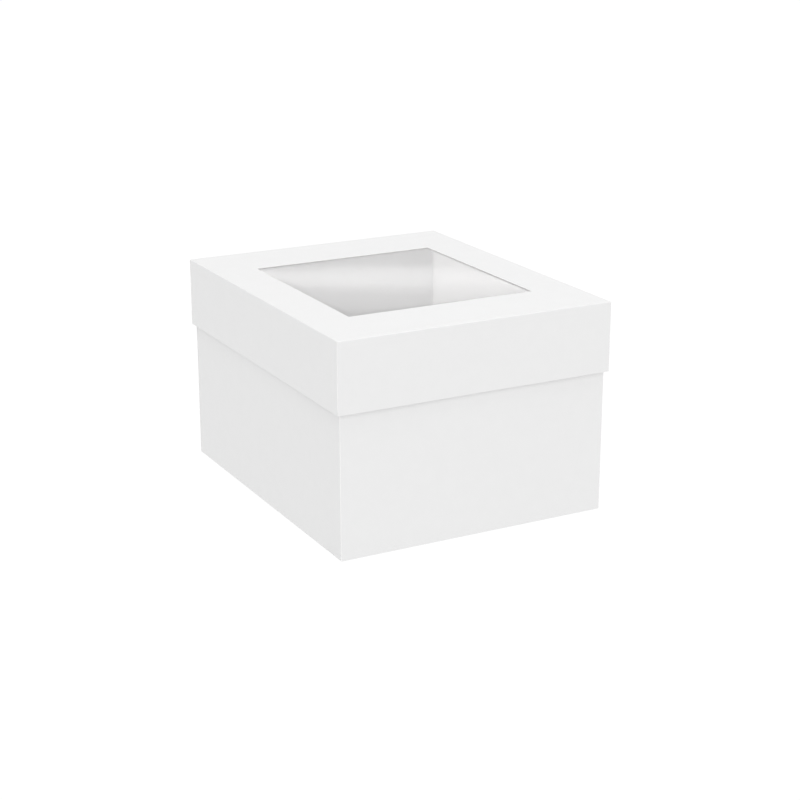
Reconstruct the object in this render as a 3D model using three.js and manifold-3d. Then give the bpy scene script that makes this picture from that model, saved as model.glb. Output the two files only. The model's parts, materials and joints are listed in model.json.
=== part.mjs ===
// Window cake box: a self-locking base tray and a lift-off lid with a film window.
// Each half is one die-cut board. Every panel between two creases is a mesh of its own,
// and the rounded fold of a crease belongs to the panel that stands up from it.
// Millimetres. +X runs along the front from left to right, +Y from front to back, +Z up.
// The origin is the middle of the box's underside.
import * as THREE from 'three';
import { mergeVertices } from 'three/addons/utils/BufferGeometryUtils.js';
import Module from 'manifold-3d';

const wasm = await Module();
wasm.setup();

// Board, film and glue
const boardThickness = 0.8;
const creaseRadius = 0.35; // inside a folded crease
const filmThickness = 0.25;
const glueThickness = 0.1;

// Base tray, outside
const baseWidth = 254;
const baseDepth = 305;
const baseHeight = 189; // underside to the rims' tops
const sideWallDrop = 0.5; // how far the single side walls end below the rims

// Double front and back walls, rolled over the corner flaps
const trapGap = 0.3; // each side of a trapped corner flap
const cutGap = 0.3; // beside a cut edge that faces another panel
const innerWallDraft = 1.2; // how far an inner wall's ends lean in towards the floor
const baseFlapReach = 82; // along the wall, from the tray's corner
const baseFlapTaper = 7; // cut off the free end, at its top and at its bottom
const baseFlapRound = 14; // corner radius of the free end
const baseFlapRelief = 0.7; // clear of the floor and of the rim

// Lock tabs and the floor slots that hold them
const tabWidth = 34;
const tabSpacing = 150; // between the middles of a wall's two tabs
const tabRecess = 0.15; // from a tab's end up to the underside
const tabLeadIn = 1.5; // sideways taper at a tab's end
const slotGap = 0.3; // each side of a tab's thickness

// Lid
const lidClearance = 1.5; // between a lid flap and the base's wall
const seatGap = 0.3; // between the base's rims and the lid's top panel
const skirtHeight = 62.5;
const lidFlapReach = 34;
const lidFlapTaper = 5;
const lidFlapRound = 4;
const lidFlapRelief = 0.7; // clear of the top panel and of the skirt's free edge
const cornerGlueInset = 5; // from a lid flap's outline to its glue
const cornerGlueRound = 3;

// Window
const windowSideMargin = 41; // left and right, from the lid's outside to the opening
const windowEndMargin = 61.5; // front and back
const windowRound = 1.2; // corner radius of the opening
const windowGlueSetback = 2.5; // from the opening's edge to the glue
const windowGlueWidth = 7;
const filmBorder = 3; // free film outside the glue
const filmRound = 4;

// Sizes that follow from them
const bendRadius = creaseRadius + boardThickness; // outside a folded crease
const doubleWall = 3 * boardThickness + 2 * trapGap; // outer wall, flap and inner wall
const rimLength = baseWidth - 2 * (boardThickness + creaseRadius + cutGap);
const rollHeight = baseHeight - bendRadius; // where the double walls' rims begin
const slotWidth = boardThickness + 2 * slotGap;
const lidOverhang = 2 * boardThickness + glueThickness + lidClearance;
const lidWidth = baseWidth + 2 * lidOverhang;
const lidDepth = baseDepth + 2 * lidOverhang;
const boxHeight = baseHeight + seatGap + boardThickness;
const windowWidth = lidWidth - 2 * windowSideMargin;
const windowDepth = lidDepth - 2 * windowEndMargin;

// Facets in a crease's quarter turn and in a rounded corner
const creaseSteps = 6;
const cornerSteps = 6;

const board = new THREE.MeshStandardMaterial({ color: 0xf4f3f2, roughness: 0.62, metalness: 0 });
const glue = new THREE.MeshStandardMaterial({ color: 0xf1efe6, roughness: 0.35, metalness: 0 });
const film = new THREE.MeshStandardMaterial({
  color: 0xf7fafc, roughness: 0.06, metalness: 0, transparent: true, opacity: 0.25,
});

// A polygon whose corners are [x, y, radius], with true arcs at the rounded ones
function outlineOf(corners, Path = THREE.Shape) {
  const path = new Path();
  const points = corners.map(([x, y]) => new THREE.Vector2(x, y));
  corners.forEach(([, , radius = 0], i) => {
    const corner = points[i];
    const back = points.at(i - 1).clone().sub(corner).normalize();
    const ahead = points[(i + 1) % points.length].clone().sub(corner).normalize();
    const half = Math.acos(back.dot(ahead)) / 2;
    const start = corner.clone().addScaledVector(back, radius / Math.tan(half));
    if (i === 0) path.moveTo(start.x, start.y);
    else path.lineTo(start.x, start.y);
    if (radius > 0) {
      const towards = back.clone().add(ahead).setLength(radius / Math.sin(half));
      const centre = corner.clone().add(towards);
      const end = corner.clone().addScaledVector(ahead, radius / Math.tan(half));
      const from = start.clone().sub(centre).angle();
      const to = end.clone().sub(centre).angle();
      path.absarc(centre.x, centre.y, radius, from, to, back.cross(ahead) > 0);
    }
  });
  path.closePath();
  return path;
}

// A rectangle about the point (x, y), with rounded corners
function rectangle(width, height, radius = 0, x = 0, y = 0, Path = THREE.Shape) {
  return outlineOf([
    [x - width / 2, y - height / 2, radius], [x + width / 2, y - height / 2, radius],
    [x + width / 2, y + height / 2, radius], [x - width / 2, y + height / 2, radius],
  ], Path);
}

// A section drawn in XY and stood up along Z, from bottom to top
function standing(section, bottom, top, curveSegments = creaseSteps) {
  const depth = top - bottom;
  const geometry = new THREE.ExtrudeGeometry(section, { depth, curveSegments, bevelEnabled: false });
  return geometry.translate(0, 0, bottom);
}

// A section drawn in YZ and run along X, with its middle at X = 0
function alongX(section, length) {
  const toYZ = new THREE.Matrix4().makeBasis(
    new THREE.Vector3(0, 1, 0), new THREE.Vector3(0, 0, 1), new THREE.Vector3(1, 0, 0),
  );
  return standing(section, -length / 2, length / 2).applyMatrix4(toYZ);
}

// An outline drawn in XZ, with its outside in the plane Y = 0
function upright(outline, thickness = boardThickness) {
  return standing(outline, 0, thickness, cornerSteps).rotateX(Math.PI / 2).translate(0, thickness, 0);
}

// Joins closed geometries into one
function join(...geometries) {
  const solids = geometries.map((geometry) => {
    geometry.deleteAttribute('normal');
    geometry.deleteAttribute('uv');
    const merged = mergeVertices(geometry, 1e-4);
    const vertProperties = new Float32Array(merged.attributes.position.array);
    const triVerts = new Uint32Array(merged.index.array);
    return new wasm.Manifold(new wasm.Mesh({ numProp: 3, vertProperties, triVerts }));
  });
  const whole = solids.reduce((sum, solid) => sum.add(solid)).getMesh();
  const joined = new THREE.BufferGeometry();
  joined.setAttribute('position', new THREE.BufferAttribute(whole.vertProperties, 3));
  joined.setIndex(new THREE.BufferAttribute(whole.triVerts, 1));
  joined.computeVertexNormals();
  return joined;
}

// The quarter ring of a folded crease: it leaves along +X at Y = 0 and climbs along +Y at X = 0
function creaseSection() {
  const section = new THREE.Shape();
  section.absarc(bendRadius, bendRadius, bendRadius, Math.PI, 1.5 * Math.PI, false);
  section.absarc(bendRadius, bendRadius, creaseRadius, 1.5 * Math.PI, Math.PI, true);
  section.closePath();
  return section;
}

// The flat panel between the four creases of a tray
function floorPanel(width, depth, holes) {
  const outline = rectangle(width - 2 * bendRadius, depth - 2 * bendRadius);
  outline.holes.push(...holes);
  return standing(outline, 0, boardThickness, cornerSteps);
}

// A wall that stands on its crease, with its outside in the plane Y = 0
function wallPanel(length, creaseLength, height) {
  const panel = rectangle(length, height - bendRadius, 0, 0, (height + bendRadius) / 2);
  return join(upright(panel), alongX(creaseSection(), creaseLength));
}

// A flap that folds round the upright crease at a wall's end and lies along that wall.
// hand is -1 at the wall's left end and 1 at its right end, seen from outside
function cornerFlap(hand, corner, bottom, top, { reach, taper, round }) {
  const panel = outlineOf([
    [hand * (corner - bendRadius), bottom], [hand * (corner - bendRadius), top],
    [hand * (corner - reach), top - taper, round], [hand * (corner - reach), bottom + taper, round],
  ]);
  const fold = standing(creaseSection(), bottom, top);
  if (hand > 0) fold.rotateZ(Math.PI / 2);
  return join(upright(panel), fold.translate(hand * corner, 0, 0));
}

// The folded strip over a double wall, from its outer crease to its inner one, in YZ
function rimSection() {
  const outer = bendRadius;
  const inner = doubleWall - bendRadius;
  const section = new THREE.Shape();
  section.absarc(outer, rollHeight, bendRadius, Math.PI, Math.PI / 2, true);
  section.absarc(inner, rollHeight, bendRadius, Math.PI / 2, 0, true);
  section.absarc(inner, rollHeight, creaseRadius, 0, Math.PI / 2, false);
  section.absarc(outer, rollHeight, creaseRadius, Math.PI / 2, Math.PI, false);
  section.closePath();
  return section;
}

const tabMiddles = [-tabSpacing / 2, tabSpacing / 2];

// The panel that hangs from the rim down inside a double wall, with its lock tabs
function innerWallPanel() {
  const bottom = boardThickness;
  const tabs = tabMiddles.flatMap((middle) => [
    [middle - tabWidth / 2, bottom], [middle - tabWidth / 2 + tabLeadIn, tabRecess],
    [middle + tabWidth / 2 - tabLeadIn, tabRecess], [middle + tabWidth / 2, bottom],
  ]);
  return upright(outlineOf([
    [-rimLength / 2 + innerWallDraft, bottom], ...tabs, [rimLength / 2 - innerWallDraft, bottom],
    [rimLength / 2, rollHeight], [-rimLength / 2, rollHeight],
  ]));
}

// The slots for one inner wall's tabs, with round ends just past the tabs. end is -1 or 1
function tabSlots(end) {
  const y = end * (baseDepth / 2 - doubleWall + boardThickness / 2);
  return tabMiddles.map((middle) => (
    rectangle(tabWidth + slotWidth, slotWidth, slotWidth / 2.001, middle, y, THREE.Path)
  ));
}

// A group on one side of a tray: X runs along the wall and Y points in from its outside
function sideOf(tray, turn, distance) {
  const side = new THREE.Group();
  side.rotation.z = turn;
  side.position.set(distance * Math.sin(turn), -distance * Math.cos(turn), 0);
  tray.add(side);
  return side;
}

function place(parent, name, geometry, material, y = 0, z = 0) {
  const mesh = new THREE.Mesh(geometry, material.clone());
  mesh.name = name;
  mesh.position.set(0, y, z);
  parent.add(mesh);
}

// Base tray: floor, single side walls, and double end walls over the side walls' flaps
function makeBase() {
  const base = new THREE.Group();
  const floor = floorPanel(baseWidth, baseDepth, [...tabSlots(-1), ...tabSlots(1)]);
  place(base, 'base_floor', floor, board);

  const flapPlane = boardThickness + trapGap;
  const flapBottom = boardThickness + baseFlapRelief;
  const flapTop = baseHeight - boardThickness - baseFlapRelief;
  const flapShape = { reach: baseFlapReach, taper: baseFlapTaper, round: baseFlapRound };
  for (const [end, turn, left, right] of [['front', 0, 'left', 'right'], ['back', Math.PI, 'right', 'left']]) {
    const side = sideOf(base, turn, baseDepth / 2);
    const outer = wallPanel(baseWidth, baseWidth, rollHeight);
    place(side, `base_${end}_outer_wall`, outer, board);
    place(side, `base_${end}_rim`, alongX(rimSection(), rimLength), board);
    place(side, `base_${end}_inner_wall`, innerWallPanel(), board, doubleWall - boardThickness);
    for (const [hand, name] of [[-1, left], [1, right]]) {
      const flap = cornerFlap(hand, baseWidth / 2, flapBottom, flapTop, flapShape);
      place(side, `base_${end}_${name}_flap`, flap, board, flapPlane);
    }
  }

  const sideLength = baseDepth - 2 * (flapPlane + bendRadius);
  for (const [name, turn] of [['left', -Math.PI / 2], ['right', Math.PI / 2]]) {
    const wall = wallPanel(sideLength, baseDepth - 2 * bendRadius, baseHeight - sideWallDrop);
    place(sideOf(base, turn, baseWidth / 2), `base_${name}_wall`, wall, board);
  }
  return base;
}

// Film window and the frame of glue that holds it to the inside of the lid's top
function addWindow(lid) {
  const frame = (grow, Path) => rectangle(
    windowWidth + 2 * grow, windowDepth + 2 * grow, windowRound + grow, 0, 0, Path,
  );
  const glueFrame = frame(windowGlueSetback + windowGlueWidth);
  glueFrame.holes.push(frame(windowGlueSetback, THREE.Path));
  const filmReach = windowGlueSetback + windowGlueWidth + filmBorder;
  const sheet = rectangle(windowWidth + 2 * filmReach, windowDepth + 2 * filmReach, filmRound);
  place(lid, 'window_glue', standing(glueFrame, 0, glueThickness, cornerSteps), glue, 0, boardThickness);
  place(
    lid, 'window_film', standing(sheet, 0, filmThickness, cornerSteps), film,
    0, boardThickness + glueThickness,
  );
}

// Lid: drawn as a tray that stands on its top panel, then turned over onto the base
function makeLid() {
  const lid = new THREE.Group();
  lid.rotation.x = Math.PI;
  lid.position.z = boxHeight;
  const opening = rectangle(windowWidth, windowDepth, windowRound, 0, 0, THREE.Path);
  place(lid, 'lid_top', floorPanel(lidWidth, lidDepth, [opening]), board);
  addWindow(lid);

  const flapPlane = boardThickness + glueThickness;
  const flapBottom = boardThickness + lidFlapRelief;
  const flapTop = skirtHeight - lidFlapRelief;
  const flapShape = { reach: lidFlapReach, taper: lidFlapTaper, round: lidFlapRound };
  const glueLength = lidFlapReach - bendRadius - 2 * cornerGlueInset;
  const glueHeight = flapTop - flapBottom - 2 * (lidFlapTaper + cornerGlueInset);
  const glueMiddle = lidWidth / 2 - bendRadius - cornerGlueInset - glueLength / 2;
  for (const [end, turn, left, right] of [['back', 0, 'left', 'right'], ['front', Math.PI, 'right', 'left']]) {
    const side = sideOf(lid, turn, lidDepth / 2);
    const skirt = wallPanel(lidWidth, lidWidth, skirtHeight);
    place(side, `lid_${end}_skirt`, skirt, board);
    for (const [hand, name] of [[-1, left], [1, right]]) {
      const flap = cornerFlap(hand, lidWidth / 2, flapBottom, flapTop, flapShape);
      const patch = rectangle(
        glueLength, glueHeight, cornerGlueRound, hand * glueMiddle, (flapBottom + flapTop) / 2,
      );
      place(side, `lid_${end}_${name}_flap`, flap, board, flapPlane);
      place(side, `lid_${end}_${name}_glue`, upright(patch, glueThickness), glue, boardThickness);
    }
  }

  const sideLength = lidDepth - 2 * (flapPlane + bendRadius);
  for (const [name, turn] of [['left', -Math.PI / 2], ['right', Math.PI / 2]]) {
    const skirt = wallPanel(sideLength, lidDepth - 2 * bendRadius, skirtHeight);
    place(sideOf(lid, turn, lidWidth / 2), `lid_${name}_skirt`, skirt, board);
  }
  return lid;
}

const box = new THREE.Group();
box.add(makeBase(), makeLid());

export default box;
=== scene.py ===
# Window cake box: folded white board, a clear film window and soft studio light.
# The scene is in metres, from the middle of the box's underside: +X along the front, +Y to the back.
# Each panel is drawn flat in millimetres, cut out, folded at its creases and stood in its place.
import json
import math

import bmesh
import bpy
from mathutils import Matrix, Vector, noise
from mathutils.geometry import area_tri, delaunay_2d_cdt

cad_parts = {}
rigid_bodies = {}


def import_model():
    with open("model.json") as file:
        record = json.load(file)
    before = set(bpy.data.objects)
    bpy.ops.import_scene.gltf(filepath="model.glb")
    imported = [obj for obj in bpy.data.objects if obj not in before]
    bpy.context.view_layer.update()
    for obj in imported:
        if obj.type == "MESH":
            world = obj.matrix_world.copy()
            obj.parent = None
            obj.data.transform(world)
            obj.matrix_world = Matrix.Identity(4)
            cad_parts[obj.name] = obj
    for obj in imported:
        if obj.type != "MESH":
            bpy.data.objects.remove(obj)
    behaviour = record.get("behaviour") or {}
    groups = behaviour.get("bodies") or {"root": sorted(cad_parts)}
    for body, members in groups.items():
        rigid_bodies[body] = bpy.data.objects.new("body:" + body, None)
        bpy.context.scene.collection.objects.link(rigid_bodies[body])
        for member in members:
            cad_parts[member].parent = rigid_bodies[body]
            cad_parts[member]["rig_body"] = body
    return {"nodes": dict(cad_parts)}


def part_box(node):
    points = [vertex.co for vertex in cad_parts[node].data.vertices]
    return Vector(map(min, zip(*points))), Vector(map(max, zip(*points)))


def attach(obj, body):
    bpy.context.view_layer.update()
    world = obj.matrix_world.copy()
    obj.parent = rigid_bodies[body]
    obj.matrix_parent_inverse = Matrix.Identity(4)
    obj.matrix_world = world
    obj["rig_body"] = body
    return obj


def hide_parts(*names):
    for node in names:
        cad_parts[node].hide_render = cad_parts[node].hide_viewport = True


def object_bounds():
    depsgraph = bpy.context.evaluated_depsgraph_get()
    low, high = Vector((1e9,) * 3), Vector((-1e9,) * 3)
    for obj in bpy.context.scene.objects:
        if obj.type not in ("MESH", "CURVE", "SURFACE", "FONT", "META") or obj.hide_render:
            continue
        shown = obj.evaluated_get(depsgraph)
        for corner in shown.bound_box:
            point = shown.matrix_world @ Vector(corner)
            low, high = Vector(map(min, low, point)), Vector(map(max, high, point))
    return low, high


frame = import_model()
cadLow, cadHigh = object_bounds()
mm = 0.001


def boxOf(node):  # lowest and highest corner of a CAD node, mm
    return [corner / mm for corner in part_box(node)]


def sizeOf(node):
    low, high = boxOf(node)
    return high - low


boardThickness = sizeOf("base_floor").z
foldRadius = boxOf("base_floor")[0].x - boxOf("base_left_wall")[0].x  # outside of a folded crease
neutralRadius = foldRadius - boardThickness / 2
foldLength = math.pi / 2 * neutralRadius  # board used up by a right-angle fold
print("frame:", len(frame["nodes"]), "nodes, board", round(boardThickness, 2), "mm thick")


def linearFrom(hexColour):
    channels = [int(hexColour[i:i + 2], 16) / 255 for i in (1, 3, 5)]
    return [c / 12.92 if c <= 0.04045 else ((c + 0.055) / 1.055) ** 2.4 for c in channels] + [1.0]


def addNode(tree, kind, settings, links):
    node = tree.nodes.new(kind)
    for key, value in settings.items():
        if isinstance(key, str) and hasattr(node, key):
            setattr(node, key, value)
        else:
            node.inputs[key].default_value = value
    for key, source in links.items():
        tree.links.new(source, node.inputs[key])
    return node


def newMaterial(name):
    material = bpy.data.materials.new(name)
    material.use_nodes = True
    return material, material.node_tree, material.node_tree.nodes["Principled BSDF"]


# Noise that stays with the piece, with patches of the given size in mm
def addNoise(tree, size, settings):
    place = addNode(tree, "ShaderNodeTexCoord", {}, {}).outputs["Object"]
    scaled = {"Scale": 1 / (size * mm), **settings}
    return addNode(tree, "ShaderNodeTexNoise", scaled, {"Vector": place}).outputs["Fac"]


def addRelief(tree, height, relief):  # the surface's direction over bumps of that height, mm
    return addNode(tree, "ShaderNodeBump", {"Distance": relief * mm}, {"Height": height}).outputs["Normal"]


# Bleached board, clay coated and calendered: an even white, a little cloudy from the pulp,
# with a soft sheen that only shows when the eye is low.
coatedBoard = {
    "light": "#e9e9e9",
    "dark": "#e8e8e8",
    "cloud": 14.0,  # mm across a cloud of pulp
    "fibre": 1.6,  # mm; a real fibre is 0.03 mm wide and would not show
    "relief": 0.010,  # mm
    "roughness": 0.5,
    "ior": 1.5,
}

# The uncoated back of the same board: bare bleached pulp, dry and matt, with more tooth. It is
# what passes the light on from wall to wall inside.
uncoatedBoard = {
    "light": "#f6f5f5",
    "dark": "#f4f3f3",
    "cloud": 9.0,
    "fibre": 1.2,  # mm, drawn coarse here too
    "relief": 0.025,
    "roughness": 0.8,
    "ior": 1.45,
}

# The board's core where a steel rule has cut it: short torn fibres, open and matt, a little
# lit from within by what falls on the faces beside it.
cutBoard = {
    "light": "#f8f7f6",
    "dark": "#f6f5f4",
    "cloud": 3.0,
    "fibre": 0.5,  # mm, and here
    "relief": 0.040,
    "creep": 0.5,  # mm that light travels through the pulp
    "roughness": 0.9,
    "ior": 1.45,
}

# How unevenly the pulp lies in any of them
pulp = {
    "cloud": {"Detail": 4.0, "Roughness": 0.6},
    "fibre": {"Detail": 3.0, "Roughness": 0.7},
    "shadeRange": (0.35, 0.65),  # of the clouds' noise, from the dark shade to the light one
    "glossRange": (0.3, 0.7),  # of the fibres' noise
    "glossSpread": 0.04,  # to either side of the board's roughness
}


def boardMaterial(name, look):
    material, tree, shader = newMaterial(name)
    cloud = addNoise(tree, look["cloud"], pulp["cloud"])
    fibre = addNoise(tree, look["fibre"], pulp["fibre"])
    shade = addNode(tree, "ShaderNodeValToRGB", {}, {"Fac": cloud})
    for stop, position, colour in zip(shade.color_ramp.elements, pulp["shadeRange"], ("dark", "light")):
        stop.position = position
        stop.color = linearFrom(look[colour])
    fibreLow, fibreHigh = pulp["glossRange"]
    glossLow, glossHigh = (look["roughness"] + way * pulp["glossSpread"] for way in (-1, 1))
    gloss = addNode(
        tree, "ShaderNodeMapRange",
        {"From Min": fibreLow, "From Max": fibreHigh, "To Min": glossLow, "To Max": glossHigh},
        {"Value": fibre},
    )
    shader.inputs["IOR"].default_value = look["ior"]
    if "creep" in look:
        shader.inputs["Subsurface Weight"].default_value = 1.0
        shader.inputs["Subsurface Radius"].default_value = (1, 1, 1)
        shader.inputs["Subsurface Scale"].default_value = look["creep"] * mm
    tree.links.new(shade.outputs["Color"], shader.inputs["Base Color"])
    tree.links.new(gloss.outputs["Result"], shader.inputs["Roughness"])
    tree.links.new(addRelief(tree, fibre, look["relief"]), shader.inputs["Normal"])
    return material


# PET film, cast: water clear and hard. Light goes straight through it, and each of its two
# faces mirrors the room more as the eye drops towards the sheet.
castFilm = {
    "tint": "#fdfdfd",
    "faceOn": 0.05,  # share mirrored when looked at square on, from an IOR of 1.57
    "grazing": 5.0,  # power by which that share grows towards the whole at a low look
    "roughness": 0.05,
    "ripple": 30.0,  # mm from one soft ripple to the next
    "relief": 0.002,  # mm
}


def filmMaterial(name, look):
    material, tree, shader = newMaterial(name)
    normal = addRelief(tree, addNoise(tree, look["ripple"], {"Detail": 1.0}), look["relief"])
    clear = addNode(tree, "ShaderNodeBsdfTransparent", {"Color": linearFrom(look["tint"])}, {})
    mirror = addNode(
        tree, "ShaderNodeBsdfGlossy",
        {"Color": (1, 1, 1, 1), "Roughness": look["roughness"]}, {"Normal": normal},
    )
    facing = addNode(tree, "ShaderNodeLayerWeight", {"Blend": 0.5}, {"Normal": normal})  # 1 less the cosine
    steep = addNode(
        tree, "ShaderNodeMath", {"operation": "POWER", 1: look["grazing"]}, {0: facing.outputs["Facing"]},
    )
    share = addNode(
        tree, "ShaderNodeMath", {"operation": "MULTIPLY_ADD", 1: 1 - look["faceOn"], 2: look["faceOn"]},
        {0: steep.outputs["Value"]},
    )
    film = addNode(
        tree, "ShaderNodeMixShader", {},
        {0: share.outputs["Value"], 1: clear.outputs[0], 2: mirror.outputs[0]},
    )
    tree.nodes.remove(shader)
    tree.links.new(film.outputs[0], tree.nodes["Material Output"].inputs["Surface"])
    return material


# White box glue, dried: creamy and half glossy, with the ridges that the glue wheel leaves.
driedGlue = {
    "thin": "#e4e1d6",
    "thick": "#eeebe1",
    "ridge": 1.4,  # mm
    "ridgeNoise": {"Detail": 2.0, "Distortion": 0.6},
    "relief": 0.04,  # mm
    "roughness": 0.35,
    "ior": 1.47,
}


def glueMaterial(name, look):
    material, tree, shader = newMaterial(name)
    ridge = addNoise(tree, look["ridge"], look["ridgeNoise"])
    shade = addNode(tree, "ShaderNodeValToRGB", {}, {"Fac": ridge})
    for stop, colour in zip(shade.color_ramp.elements, ("thin", "thick")):
        stop.color = linearFrom(look[colour])
    shader.inputs["Roughness"].default_value = look["roughness"]
    shader.inputs["IOR"].default_value = look["ior"]
    tree.links.new(shade.outputs["Color"], shader.inputs["Base Color"])
    tree.links.new(addRelief(tree, ridge, look["relief"]), shader.inputs["Normal"])
    return material


# What a sheet is called, and its materials: outside, inside, cut edge
finishes = {
    "board": ("panel", [
        boardMaterial("coatedBleachedBoard", coatedBoard),
        boardMaterial("uncoatedBleachedBoard", uncoatedBoard),
        boardMaterial("ruleCutBoard", cutBoard),
    ]),
    "film": ("sheet", [filmMaterial("castClearFilm", castFilm)]),
    "glue": ("bead", [glueMaterial("driedWhiteGlue", driedGlue)]),
}
print("materials:", ", ".join(material.name for material in bpy.data.materials if material.use_nodes))


# In the flat, a sheet's points are (along, across): along its crease, and away from it.
sheetNet = {
    "cell": 10.0,  # mm
    "foldRows": 8,  # rows of faces round a fold
    "leadRow": 0.35,  # mm, a narrow row beside a fold and at a seam's ends keeps their shading to itself
    "leadRoom": 4,  # times its width, the flat that has to be there for such a row
    "edgeRound": 0.3,  # mm, the steel rule rolls the outside face over at a cut edge
    "edgeShare": 0.4,  # or this much of the thickness of a thinner sheet
    "edgeSteps": 3,
    "backEdgeShare": 0.3,  # and leaves the inside face crisper
    "cutClear": 1.0,  # mm, no point of the net lies nearer to a cut edge
    "seamClear": 0.05,  # mm, nor nearer to a seam
    "nearest": 0.1,  # mm, points on a border that would be nearer to each other than this become one
    "merge": 1e-5,  # mm, and so do any two points of the net
    "leastShare": 0.001,  # of a side's length, so that even a short side keeps its start
    "touch": 0.01,  # mm, a point nearer to a line than this is on it
    "level": 0.001,  # mm, and the same for a row of the net
    "leastArea": 0.001,  # mm2, smaller triangles are slivers
    "joinAngle": 0.05,  # rad, triangles that lie this level become four-sided faces
    "joinShape": 0.3,  # rad, and how far from square their corners may be
    "sharpAngle": 0.5,  # rad, a sharper edge between two faces stays sharp
}


# The corners are (along, across, radius), with the radius left out where a corner is sharp
def outlineOf(corners, steps=6):
    loop = []
    for i, (x, y, *rounding) in enumerate(corners):
        corner = Vector((x, y))
        if not rounding:
            loop.append(corner)
            continue
        back = (Vector(corners[i - 1][:2]) - corner).normalized()
        ahead = (Vector(corners[(i + 1) % len(corners)][:2]) - corner).normalized()
        half = back.angle(ahead) / 2
        centre = corner + (back + ahead).normalized() * (rounding[0] / math.sin(half))
        start, end = (corner + way * (rounding[0] / math.tan(half)) - centre for way in (back, ahead))
        turn = start.angle_signed(end)
        loop += [centre + Matrix.Rotation(-turn * step / steps, 2) @ start for step in range(steps + 1)]
    return loop


def rectangle(width, height, *rounding, middle=(0, 0)):
    return outlineOf([
        (middle[0] + x * width / 2, middle[1] + y * height / 2, *rounding)
        for x, y in ((-1, -1), (1, -1), (1, 1), (-1, 1))
    ])


def sidesOf(loop):
    return list(zip(loop, loop[1:] + loop[:1]))


def distanceTo(point, start, end):
    run = end - start
    share = max(0.0, min(1.0, (point - start).dot(run) / run.length_squared))
    return (start + run * share - point).length


def isInside(point, loops):
    crossed = 0
    for a, b in (side for loop in loops for side in sidesOf(loop)):
        if (a.y > point.y) != (b.y > point.y):
            crossed += point.x < a.x + (point.y - a.y) / (b.y - a.y) * (b.x - a.x)
    return crossed % 2 == 1


# Even lines from low to high, with one at each stop between them
def netLines(low, high, stops=()):
    lines = [low]
    for start, end in zip((low, *stops), (*stops, high)):
        count = max(1, round((end - start) / sheetNet["cell"]))
        lines += [start + (end - start) * (i + 1) / count for i in range(count)]
    return lines


# A loop with a point added wherever it crosses the net, and at each mark on it
def onNet(loop, columns, rows, marks):
    points, nearest = [], sheetNet["nearest"]
    for start, end in sidesOf(loop):
        run = end - start
        shares = [0.0]
        for lines, axis in ((columns, 0), (rows, 1)):
            if abs(run[axis]) > sheetNet["level"]:
                shares += [(line - start[axis]) / run[axis] for line in lines]
        shares += [
            (mark - start).dot(run) / run.length_squared for mark in marks
            if run.length > 0 and distanceTo(mark, start, end) < sheetNet["touch"]
        ]
        last = max(1 - nearest / max(run.length, nearest), sheetNet["leastShare"])
        for share in sorted(shares):
            point = start.lerp(start + run, share)
            if 0 <= share < last and (not points or (point - points[-1]).length > nearest):
                points.append(point)
    if (points[0] - points[-1]).length < nearest:
        points.pop()
    return points


def onSeam(side, seams):
    return any(all(distanceTo(point, *seam) < sheetNet["touch"] for point in side) for seam in seams)


# Where a point of the flat sheet goes once the sheet is folded beyond flatLow and flatHigh.
# Depth runs from the sheet's outside, 0, to its inside.
def foldedPoint(across, depth, flatLow, flatHigh):
    past = min(across - flatLow, 0.0) + max(across - flatHigh, 0.0)
    if past == 0:
        return across, depth
    arm, angle = foldRadius - depth, abs(past) / neutralRadius
    start = flatLow if past < 0 else flatHigh
    return start + math.copysign(arm * math.sin(angle), past), foldRadius - arm * math.cos(angle)


# Even rows on the flat, and close ones round each fold
def rowsOf(flatLow, flatHigh, folds, stops):
    rows, steps = netLines(flatLow, flatHigh, stops), sheetNet["foldRows"]
    for folded, start, way in ((folds[0], flatLow, -1), (folds[1], flatHigh, 1)):
        if folded:
            rows += [start + way * foldLength * (i + 1) / steps for i in range(steps)]
            if flatHigh - flatLow > sheetNet["leadRoom"] * sheetNet["leadRow"]:
                rows.append(start - way * sheetNet["leadRow"])
    return rows


# A seam's two tips. Where a seam stops part way along a side, a mark just before its tip ends the
# rounding of the cut.
def marksOf(seams, outline):
    marks = [tip for seam in seams for tip in seam]
    for start, end in seams:
        lead = (end - start).normalized() * sheetNet["leadRow"]
        marks += [
            tip + way for tip, way in ((start, lead), (end, -lead))
            if all((tip - corner).length > sheetNet["touch"] for corner in outline)
        ]
    return marks


# The flat sheet as points and triangles
def netOf(loops, columns, rows, closeRows, seams):
    points, edges = [], []
    for loop in loops:
        edges += [(len(points) + i, len(points) + (i + 1) % len(loop)) for i in range(len(loop))]
        points += loop
    borders = [
        (*side, sheetNet["seamClear"] if onSeam(side, seams) else sheetNet["cutClear"])
        for loop in loops for side in sidesOf(loop)
    ]
    inner = []
    for loop in loops:  # a strip of even width runs beside each cut
        for before, point, after in zip(loop[-1:] + loop, loop, loop[1:] + loop):
            if not (onSeam((before, point), seams) and onSeam((point, after), seams)):
                aside = (after - before).normalized().orthogonal()
                aside *= sheetNet["cutClear"] + sheetNet["seamClear"]
                inner += [point + aside, point - aside]
    inner += [Vector((x, y)) for x in columns for y in rows]
    for point in inner:
        if isInside(point, loops) and all(distanceTo(point, a, b) > clear for a, b, clear in borders):
            points.append(point)
    for row in closeRows:  # a fold is netted row by row
        onRow = [i for i, point in enumerate(points) if abs(point.y - row) < sheetNet["level"]]
        onRow.sort(key=lambda i: points[i].x)
        edges += zip(onRow, onRow[1:])
    points, _, found, *_ = delaunay_2d_cdt(points, edges, [], 0, sheetNet["merge"])
    triangles = []
    for triangle in found:
        corners = [points[i] for i in triangle]
        if area_tri(*corners) > sheetNet["leastArea"] and isInside(sum(corners, Vector((0, 0))) / 3, loops):
            triangles.append(triangle)
    return points, triangles


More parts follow.
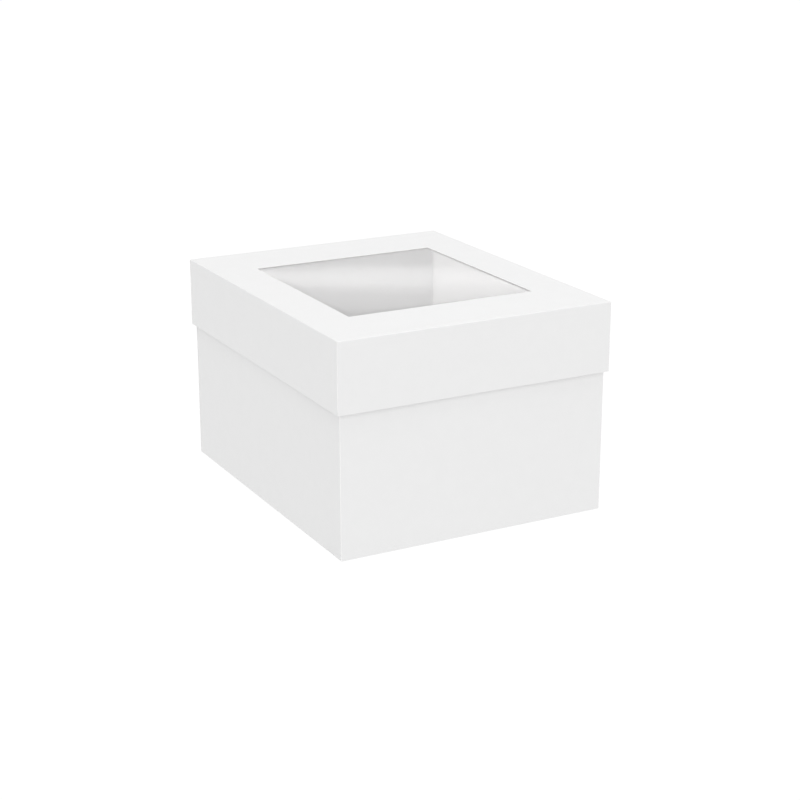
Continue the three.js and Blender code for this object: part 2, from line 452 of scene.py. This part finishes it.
# folds: whether the sheet is folded at its low end and at its high end.
# seams: pairs of points between which the sheet runs on into its neighbour.
# bow: how far in a point stands from the flat, mm.
# stops: where the net has a line in any case, along and across.
def makeSheet(
    node, finish, place, outline,
    holes=(), folds=(False, False), seams=(), bow=None, thickness=boardThickness, stops=((), ()),
):
    low, high = min(p.y for p in outline), max(p.y for p in outline)
    flatLow, flatHigh = low + foldLength * folds[0], high - foldLength * folds[1]
    rows = rowsOf(flatLow, flatHigh, folds, stops[1])
    closeRows = [row for row in rows if not flatLow < row < flatHigh]
    columns = netLines(min(p.x for p in outline), max(p.x for p in outline), stops[0])
    seams = [(Vector(start), Vector(end)) for start, end in seams]
    marks = marksOf(seams, outline)
    loops = [onNet(loop, columns, rows, marks) for loop in (outline, *holes)]
    points, triangles = netOf(loops, columns, rows, closeRows, seams)

    net = bmesh.new()
    layers = []
    for depth in (0.0, thickness):
        layer = []
        for point in points:
            across, inward = foldedPoint(point.y, depth, flatLow, flatHigh)
            inward += bow(*point) if bow else 0.0
            layer.append(net.verts.new(place @ Vector((point.x, across, inward))))
        for triangle in triangles:
            net.faces.new([layer[i] for i in triangle]).material_index = len(layers)
        layers.append(layer)
    net.normal_update()
    bmesh.ops.join_triangles(
        net, faces=net.faces[:],
        angle_face_threshold=sheetNet["joinAngle"], angle_shape_threshold=sheetNet["joinShape"],
    )

    cutWeight = net.edges.layers.float.new("bevel_weight_edge")
    turns = {(i, j) for t in triangles for i, j in zip(t, (*t[1:], t[0]))}
    for i, j in (turn for turn in turns if turn[::-1] not in turns):
        net.faces.new([layers[0][i], layers[1][i], layers[1][j], layers[0][j]]).material_index = 2
        isCut = not onSeam((points[i], points[j]), seams)
        for layer, weight in zip(layers, (1.0, sheetNet["backEdgeShare"])):
            net.edges.get((layer[i], layer[j]))[cutWeight] = weight * isCut
    bmesh.ops.recalc_face_normals(net, faces=net.faces)
    net.normal_update()
    word, materials = finishes[finish]
    for face in net.faces:
        face.smooth = True
        face.material_index = min(face.material_index, len(materials) - 1)
    for edge in net.edges:
        edge.smooth = edge[cutWeight] > 0 or edge.calc_face_angle(0.0) < sheetNet["sharpAngle"]
    mesh = bpy.data.meshes.new(f"{node}_{word}")
    net.to_mesh(mesh)
    net.free()
    for material in materials:
        mesh.materials.append(material)

    piece = bpy.data.objects.new(mesh.name, mesh)
    bpy.context.scene.collection.objects.link(piece)
    rounding = piece.modifiers.new("cutEdges", "BEVEL")
    rounding.limit_method = "WEIGHT"
    rounding.width = min(sheetNet["edgeRound"], thickness * sheetNet["edgeShare"]) * mm
    rounding.segments = sheetNet["edgeSteps"]
    rounding.use_clamp_overlap = False
    piece.modifiers.new("evenShading", "WEIGHTED_NORMAL").keep_sharp = True
    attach(piece, frame["nodes"][node]["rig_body"])
    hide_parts(node)


wayTo = {
    "left": Vector((-1, 0, 0)), "right": Vector((1, 0, 0)),
    "front": Vector((0, -1, 0)), "back": Vector((0, 1, 0)),
    "up": Vector((0, 0, 1)), "down": Vector((0, 0, -1)),
}
right, back, up, down = (wayTo[way] for way in ("right", "back", "up", "down"))


# The middle of a node's box, moved out to its faces on the given sides
def faceOf(node, *ways):
    low, high = boxOf(node)
    point = (low + high) / 2
    for way in ways:
        point += way * abs((high - low).dot(way)) / 2
    return point


def standAt(origin, along, across, depth):
    turned = Matrix((along, across, depth)).transposed().to_4x4()
    return Matrix.Scale(mm, 4) @ Matrix.Translation(origin) @ turned


def ease(share):  # 0 to 1, level at both ends
    share = max(0.0, min(1.0, share))
    return share * share * (3 - 2 * share)


def hump(place, length):  # 1 in the middle of a length, level and 0 at its ends
    return math.cos(math.pi * max(-0.5, min(0.5, place / length))) ** 2


# The base tray
baseWalls = {
    "sideBulge": 0.4,  # mm, the free top edge of a side wall springs out this far
    "endBulge": 0.25,  # mm, an end wall dips in between its two flaps
    "endSpan": 0.34,  # of its length
    "innerBulge": 0.6,  # mm, a rolled-over wall bellies into the box
}
baseFlaps = {"taper": 7.0, "round": 14.0}  # mm
lockTabs = {"width": 34.0, "spacing": 150.0, "leadIn": 1.5, "slotGap": 0.3}  # mm
innerWalls = {"draft": 1.2}  # mm, how much shorter its foot is than its top, at either end


# A wall folded up from a tray's flat panel. Rise is up for the base and down for the lid.
# topSeam is the length of the rim that carries on from its top, and flap the one at its end.
def makeWall(node, side, rise, topSeam=0.0, flap=None, bow=None):
    out = wayTo[side]
    along = right if side in ("front", "back") else back
    crease = abs(sizeOf(node).dot(along))
    height = sizeOf(node).z - foldRadius
    origin = faceOf(node, out, -rise) + rise * foldRadius
    length = 2 * abs(faceOf(flap, back).y) if flap else crease
    seams = [((-crease / 2, -foldLength), (crease / 2, -foldLength))]
    if topSeam:
        seams.append(((-topSeam / 2, height), (topSeam / 2, height)))
    if flap:
        low, high = ((faceOf(flap, way) - origin).dot(rise) for way in (-rise, rise))
        seams += [((x, low), (x, high)) for x in (-length / 2, length / 2)]
        for way in (-1, 1):  # the nick between crease and flap is too small to be rounded
            nick = [(way * crease / 2, 0), (way * length / 2, 0), (way * length / 2, low)]
            seams += zip(nick, nick[1:])
    outline = outlineOf([
        (-crease / 2, -foldLength), (crease / 2, -foldLength), (crease / 2, 0), (length / 2, 0),
        (length / 2, height), (-length / 2, height), (-length / 2, 0), (-crease / 2, 0),
    ])
    place = standAt(origin, along, rise, -out)
    shaped = (lambda x, y: bow(x / length, max(0.0, y / height))) if bow else None
    makeSheet(node, "board", place, outline, folds=(True, False), seams=seams, bow=shaped)


def makeFlap(node, end, hand, shape):
    out, corner = wayTo[end], wayTo[hand]
    half, reach = sizeOf(node).z / 2, sizeOf(node).x - foldRadius
    outline = outlineOf([
        (-half, -foldLength), (-half, 0), (shape["taper"] - half, reach, shape["round"]),
        (half - shape["taper"], reach, shape["round"]), (half, 0), (half, -foldLength),
    ])
    place = standAt(faceOf(node, out, corner) - corner * foldRadius, up, -corner, -out)
    seams = [((-half, -foldLength), (half, -foldLength))]
    makeSheet(node, "board", place, outline, folds=(True, False), seams=seams)


def makeRim(node, end):
    out, size = wayTo[end], sizeOf(node)
    flat = size.y - 2 * foldRadius
    outline = rectangle(size.x, flat + 2 * foldLength, middle=(0, flat / 2))
    place = standAt(faceOf(node, out, up) - out * foldRadius, right, -out, down)
    seams = [((-size.x / 2, y), (size.x / 2, y)) for y in (-foldLength, flat + foldLength)]
    makeSheet(node, "board", place, outline, folds=(True, True), seams=seams)


tabMiddles = [-lockTabs["spacing"] / 2, lockTabs["spacing"] / 2]


def makeInnerWall(node, end):
    out, size = wayTo[end], sizeOf(node)
    shoulder = boardThickness - boxOf(node)[0].z
    half, foot = size.x / 2, size.x / 2 - innerWalls["draft"]
    corners = [(-foot, shoulder)]
    for middle in tabMiddles:
        low, high = middle - lockTabs["width"] / 2, middle + lockTabs["width"] / 2
        corners += [(low, shoulder), (low + lockTabs["leadIn"], 0)]
        corners += [(high - lockTabs["leadIn"], 0), (high, shoulder)]
    corners += [(foot, shoulder), (half, size.z), (-half, size.z)]
    makeSheet(
        node, "board", standAt(faceOf(node, -out, down), right, up, out), outlineOf(corners),
        seams=[((-half, size.z), (half, size.z))],
        bow=lambda x, y: -baseWalls["innerBulge"] * hump(x, size.x) * hump(y - size.z / 2, size.z),
    )


def makeFlatPanel(node, rise, holes, bow=None):
    outline = rectangle(*sizeOf(node).xy)
    place = standAt(faceOf(node, -rise), right, back, rise)
    makeSheet(node, "board", place, outline, holes, seams=sidesOf(outline), bow=bow)


slotWidth = boardThickness + 2 * lockTabs["slotGap"]
slots = [
    rectangle(  # the ends are a shade less than half circles, so that no side is without length
        lockTabs["width"] + slotWidth, slotWidth, slotWidth / 2.001,
        middle=(middle, faceOf(f"base_{end}_inner_wall").y),
    )
    for end in ("front", "back") for middle in tabMiddles
]
makeFlatPanel("base_floor", up, slots)
for side in ("left", "right"):
    makeWall(
        f"base_{side}_wall", side, up, flap=f"base_front_{side}_flap",
        bow=lambda x, y: -baseWalls["sideBulge"] * hump(x, 1) * y * y,
    )
for end in ("front", "back"):
    rimLength = sizeOf(f"base_{end}_rim").x
    makeWall(
        f"base_{end}_outer_wall", end, up, topSeam=rimLength,
        bow=lambda x, y: baseWalls["endBulge"] * hump(x, baseWalls["endSpan"]) * hump(y - 0.5, 1),
    )
    makeRim(f"base_{end}_rim", end)
    makeInnerWall(f"base_{end}_inner_wall", end)
    for hand in ("left", "right"):
        makeFlap(f"base_{end}_{hand}_flap", end, hand, baseFlaps)
print("base: floor, 2 side walls, 2 rolled-over end walls, 4 corner flaps")


# The lid
lidPanel = {
    "openingRound": 1.2,  # mm
    "waviness": 0.02,  # mm
    "wave": 80.0,  # mm from one swell to the next
    "waveStart": 90.0,  # which slice of the noise it takes
    "hold": 40.0,  # mm, how far in the creases hold it flat
}
lidSkirts = {
    "springIn": 0.5,  # mm, at the middle of a skirt's free edge
    "endSpan": 0.7,  # of the length of a front or back skirt
}
lidFlaps = {"taper": 5.0, "round": 4.0}  # mm
cornerGlue = {"round": 3.0}  # mm
windowFilm = {
    "reach": 12.5,  # mm, film beyond the opening
    "round": 4.0,
    "sag": 0.05,  # mm
    "ripple": 0.01,  # mm
    "rippleLength": 45.0,
    "press": 0.08,  # mm, inside its glue the taut film lies up against the panel's cut edge
}
windowGlue = {"setback": 2.5}  # mm, from the opening's edge to the glue
opening = sizeOf("window_film").xy - Vector((2, 2)) * windowFilm["reach"]
glueInside = opening + Vector((2, 2)) * windowGlue["setback"]
lidHalf = sizeOf("lid_top").xy / 2


def lidWave(x, y):
    held = ease(min(lidHalf.x - abs(x), lidHalf.y - abs(y)) / lidPanel["hold"])
    swell = noise.noise(Vector((x, y, lidPanel["waveStart"])) / lidPanel["wave"])
    return lidPanel["waviness"] * held * (0.5 + 0.5 * swell)


def filmSag(x, y):
    free = hump(x, opening.x) * hump(y, opening.y)
    ripple = noise.noise(Vector((x, y, 0)) / windowFilm["rippleLength"])
    inside = min(glueInside.x / 2 - abs(x), glueInside.y / 2 - abs(y))
    press = windowFilm["press"] * ease(inside / windowGlue["setback"])
    bulge = free * windowFilm["sag"] + free ** 0.5 * windowFilm["ripple"] * (1 + ripple)
    return lidWave(x, y) + bulge - press


makeFlatPanel("lid_top", down, [rectangle(*opening, lidPanel["openingRound"])], bow=lidWave)
glueSize = sizeOf("window_glue")
makeSheet(
    "window_glue", "glue", standAt(faceOf("window_glue", up), right, back, down),
    rectangle(glueSize.x, glueSize.y, lidPanel["openingRound"] + (glueSize.x - opening.x) / 2),
    [rectangle(*glueInside, lidPanel["openingRound"] + windowGlue["setback"])],
    bow=lidWave, thickness=glueSize.z,
)
filmSize = sizeOf("window_film")
makeSheet(
    "window_film", "film", standAt(faceOf("window_film", up), right, back, down),
    rectangle(filmSize.x, filmSize.y, windowFilm["round"]), bow=filmSag, thickness=filmSize.z,
    stops=[(-glue / 2, -edge / 2, edge / 2, glue / 2) for glue, edge in zip(glueInside, opening)],
)
for side in ("left", "right"):
    makeWall(
        f"lid_{side}_skirt", side, down, flap=f"lid_front_{side}_flap",
        bow=lambda x, y: lidSkirts["springIn"] * hump(x, 1) * y * y,
    )
for end in ("front", "back"):
    makeWall(
        f"lid_{end}_skirt", end, down,
        bow=lambda x, y: lidSkirts["springIn"] * hump(x, lidSkirts["endSpan"]) * y * y,
    )
    for hand in ("left", "right"):
        makeFlap(f"lid_{end}_{hand}_flap", end, hand, lidFlaps)
        patch = f"lid_{end}_{hand}_glue"
        makeSheet(
            patch, "glue", standAt(faceOf(patch, wayTo[end]), right, up, -wayTo[end]),
            rectangle(sizeOf(patch).x, sizeOf(patch).z, cornerGlue["round"]), thickness=sizeOf(patch).y,
        )
print("lid: top, window film and its glue, 4 skirts, 4 corner flaps and their glue")


# Studio: an even pale room, a large soft light overhead, one from the front left that draws the
# shadow under the lid's edge, and a wide weak one in front. The film mirrors the two pale panels and
# the thin tubes that stand behind.
studio = {
    "room": 0.72,  # the same from every side
    "floorColour": "#454545",
    "floorGlow": 0.965,  # lit from within, so that the box throws almost no shadow on it
    "floorRoughness": 0.9,
    "floorWidth": 26.0,  # m
    "bounces": 24,  # light finds its way round the white inside
}
# Where a soft light stands, seen from the window: degrees, metres away and aside, metres, watts.
# The overhead one isn't quite at 90 degrees, where it would have no side.
softboxes = {
    "overhead": {"aim": (0.0, 89.9), "away": 4.0, "aside": 0.0, "size": (2.6, 2.6), "power": 55.5},
    "keyFront": {"aim": (-35.0, 42.0), "away": 4.0, "aside": 0.0, "size": (2.6, 0.8), "power": 18.9},
    "frontLow": {"aim": (-12.0, 20.0), "away": 4.0, "aside": 0.0, "size": (4.0, 2.4), "power": 15.0},
    "panelLeft": {"aim": (151.9, 11.35), "away": 4.0, "aside": -0.39, "size": (1.0, 0.6), "power": 0.64},
    "panelRight": {"aim": (151.9, 11.35), "away": 4.0, "aside": 0.61, "size": (1.0, 0.6), "power": 1.173},
    "tubeLeft": {"aim": (151.9, 14.2), "away": 3.9, "aside": -0.39, "size": (1.0, 0.05), "power": 0.08},
    "tubeRight": {"aim": (151.9, 14.2), "away": 3.9, "aside": 0.61, "size": (1.0, 0.05), "power": 0.048},
}
scene = bpy.context.scene
scene.view_settings.view_transform = "Standard"  # the board's white stays the white of its colour
scene.cycles.max_bounces = studio["bounces"]
scene.cycles.diffuse_bounces = studio["bounces"]

world = bpy.data.worlds.new("paleRoom")
world.use_nodes = True
world.node_tree.nodes["Background"].inputs["Color"].default_value = (1, 1, 1, 1)
world.node_tree.nodes["Background"].inputs["Strength"].default_value = studio["room"]
scene.world = world

paint, _, paintShader = newMaterial("mattPaintedFloor")
paintShader.inputs["Base Color"].default_value = linearFrom(studio["floorColour"])
paintShader.inputs["Roughness"].default_value = studio["floorRoughness"]
paintShader.inputs["Specular IOR Level"].default_value = 0.0
paintShader.inputs["Emission Color"].default_value = (1, 1, 1, 1)
paintShader.inputs["Emission Strength"].default_value = studio["floorGlow"]
floorMesh = bpy.data.meshes.new("studioFloor")
reach = studio["floorWidth"] / 2
corners = [(-reach, -reach, 0), (reach, -reach, 0), (reach, reach, 0), (-reach, reach, 0)]
floorMesh.from_pydata(corners, [], [(0, 1, 2, 3)])
floorMesh.materials.append(paint)
floor = bpy.data.objects.new("studioFloor", floorMesh)
scene.collection.objects.link(floor)


def wayFrom(azimuth, elevation):  # from the box, with azimuth 0 in front of it and 90 to its right
    azimuth, elevation = math.radians(azimuth), math.radians(elevation)
    level = Vector((math.sin(azimuth), -math.cos(azimuth), 0))
    return level * math.cos(elevation) + up * math.sin(elevation)


windowMiddle = faceOf("window_film") * mm
for name, setting in softboxes.items():
    light = bpy.data.lights.new(name, "AREA")
    light.shape = "RECTANGLE"
    light.size, light.size_y = setting["size"]
    light.energy = setting["power"]
    softbox = bpy.data.objects.new(name, light)
    way = wayFrom(*setting["aim"])
    aside = way.cross(up).normalized() * setting["aside"]
    softbox.location = windowMiddle + way * setting["away"] + aside
    softbox.rotation_euler = way.to_track_quat("Z", "Y").to_euler()
    scene.collection.objects.link(softbox)

# The camera's aim was matched to the box's corners
viewpoint = {
    "azimuth": -28.08,
    "elevation": 18.09,
    "distance": 1637.7,  # mm
    "right": 8.0,  # mm, how far beside the box's middle the camera looks
    "down": 17.3,
    "lens": 81.1,  # mm
}
backward = wayFrom(viewpoint["azimuth"], viewpoint["elevation"])
aim = (-backward).to_track_quat("-Z", "Y")
offset = aim @ Vector((viewpoint["right"], -viewpoint["down"], viewpoint["distance"]))
lens = bpy.data.cameras.new("camera")
lens.lens = viewpoint["lens"]
camera = bpy.data.objects.new("camera", lens)
camera.location = (cadLow + cadHigh) / 2 + offset * mm
camera.rotation_euler = aim.to_euler()
scene.collection.objects.link(camera)
scene.camera = camera
print("studio: floor, room,", len(softboxes), "soft lights and the camera")
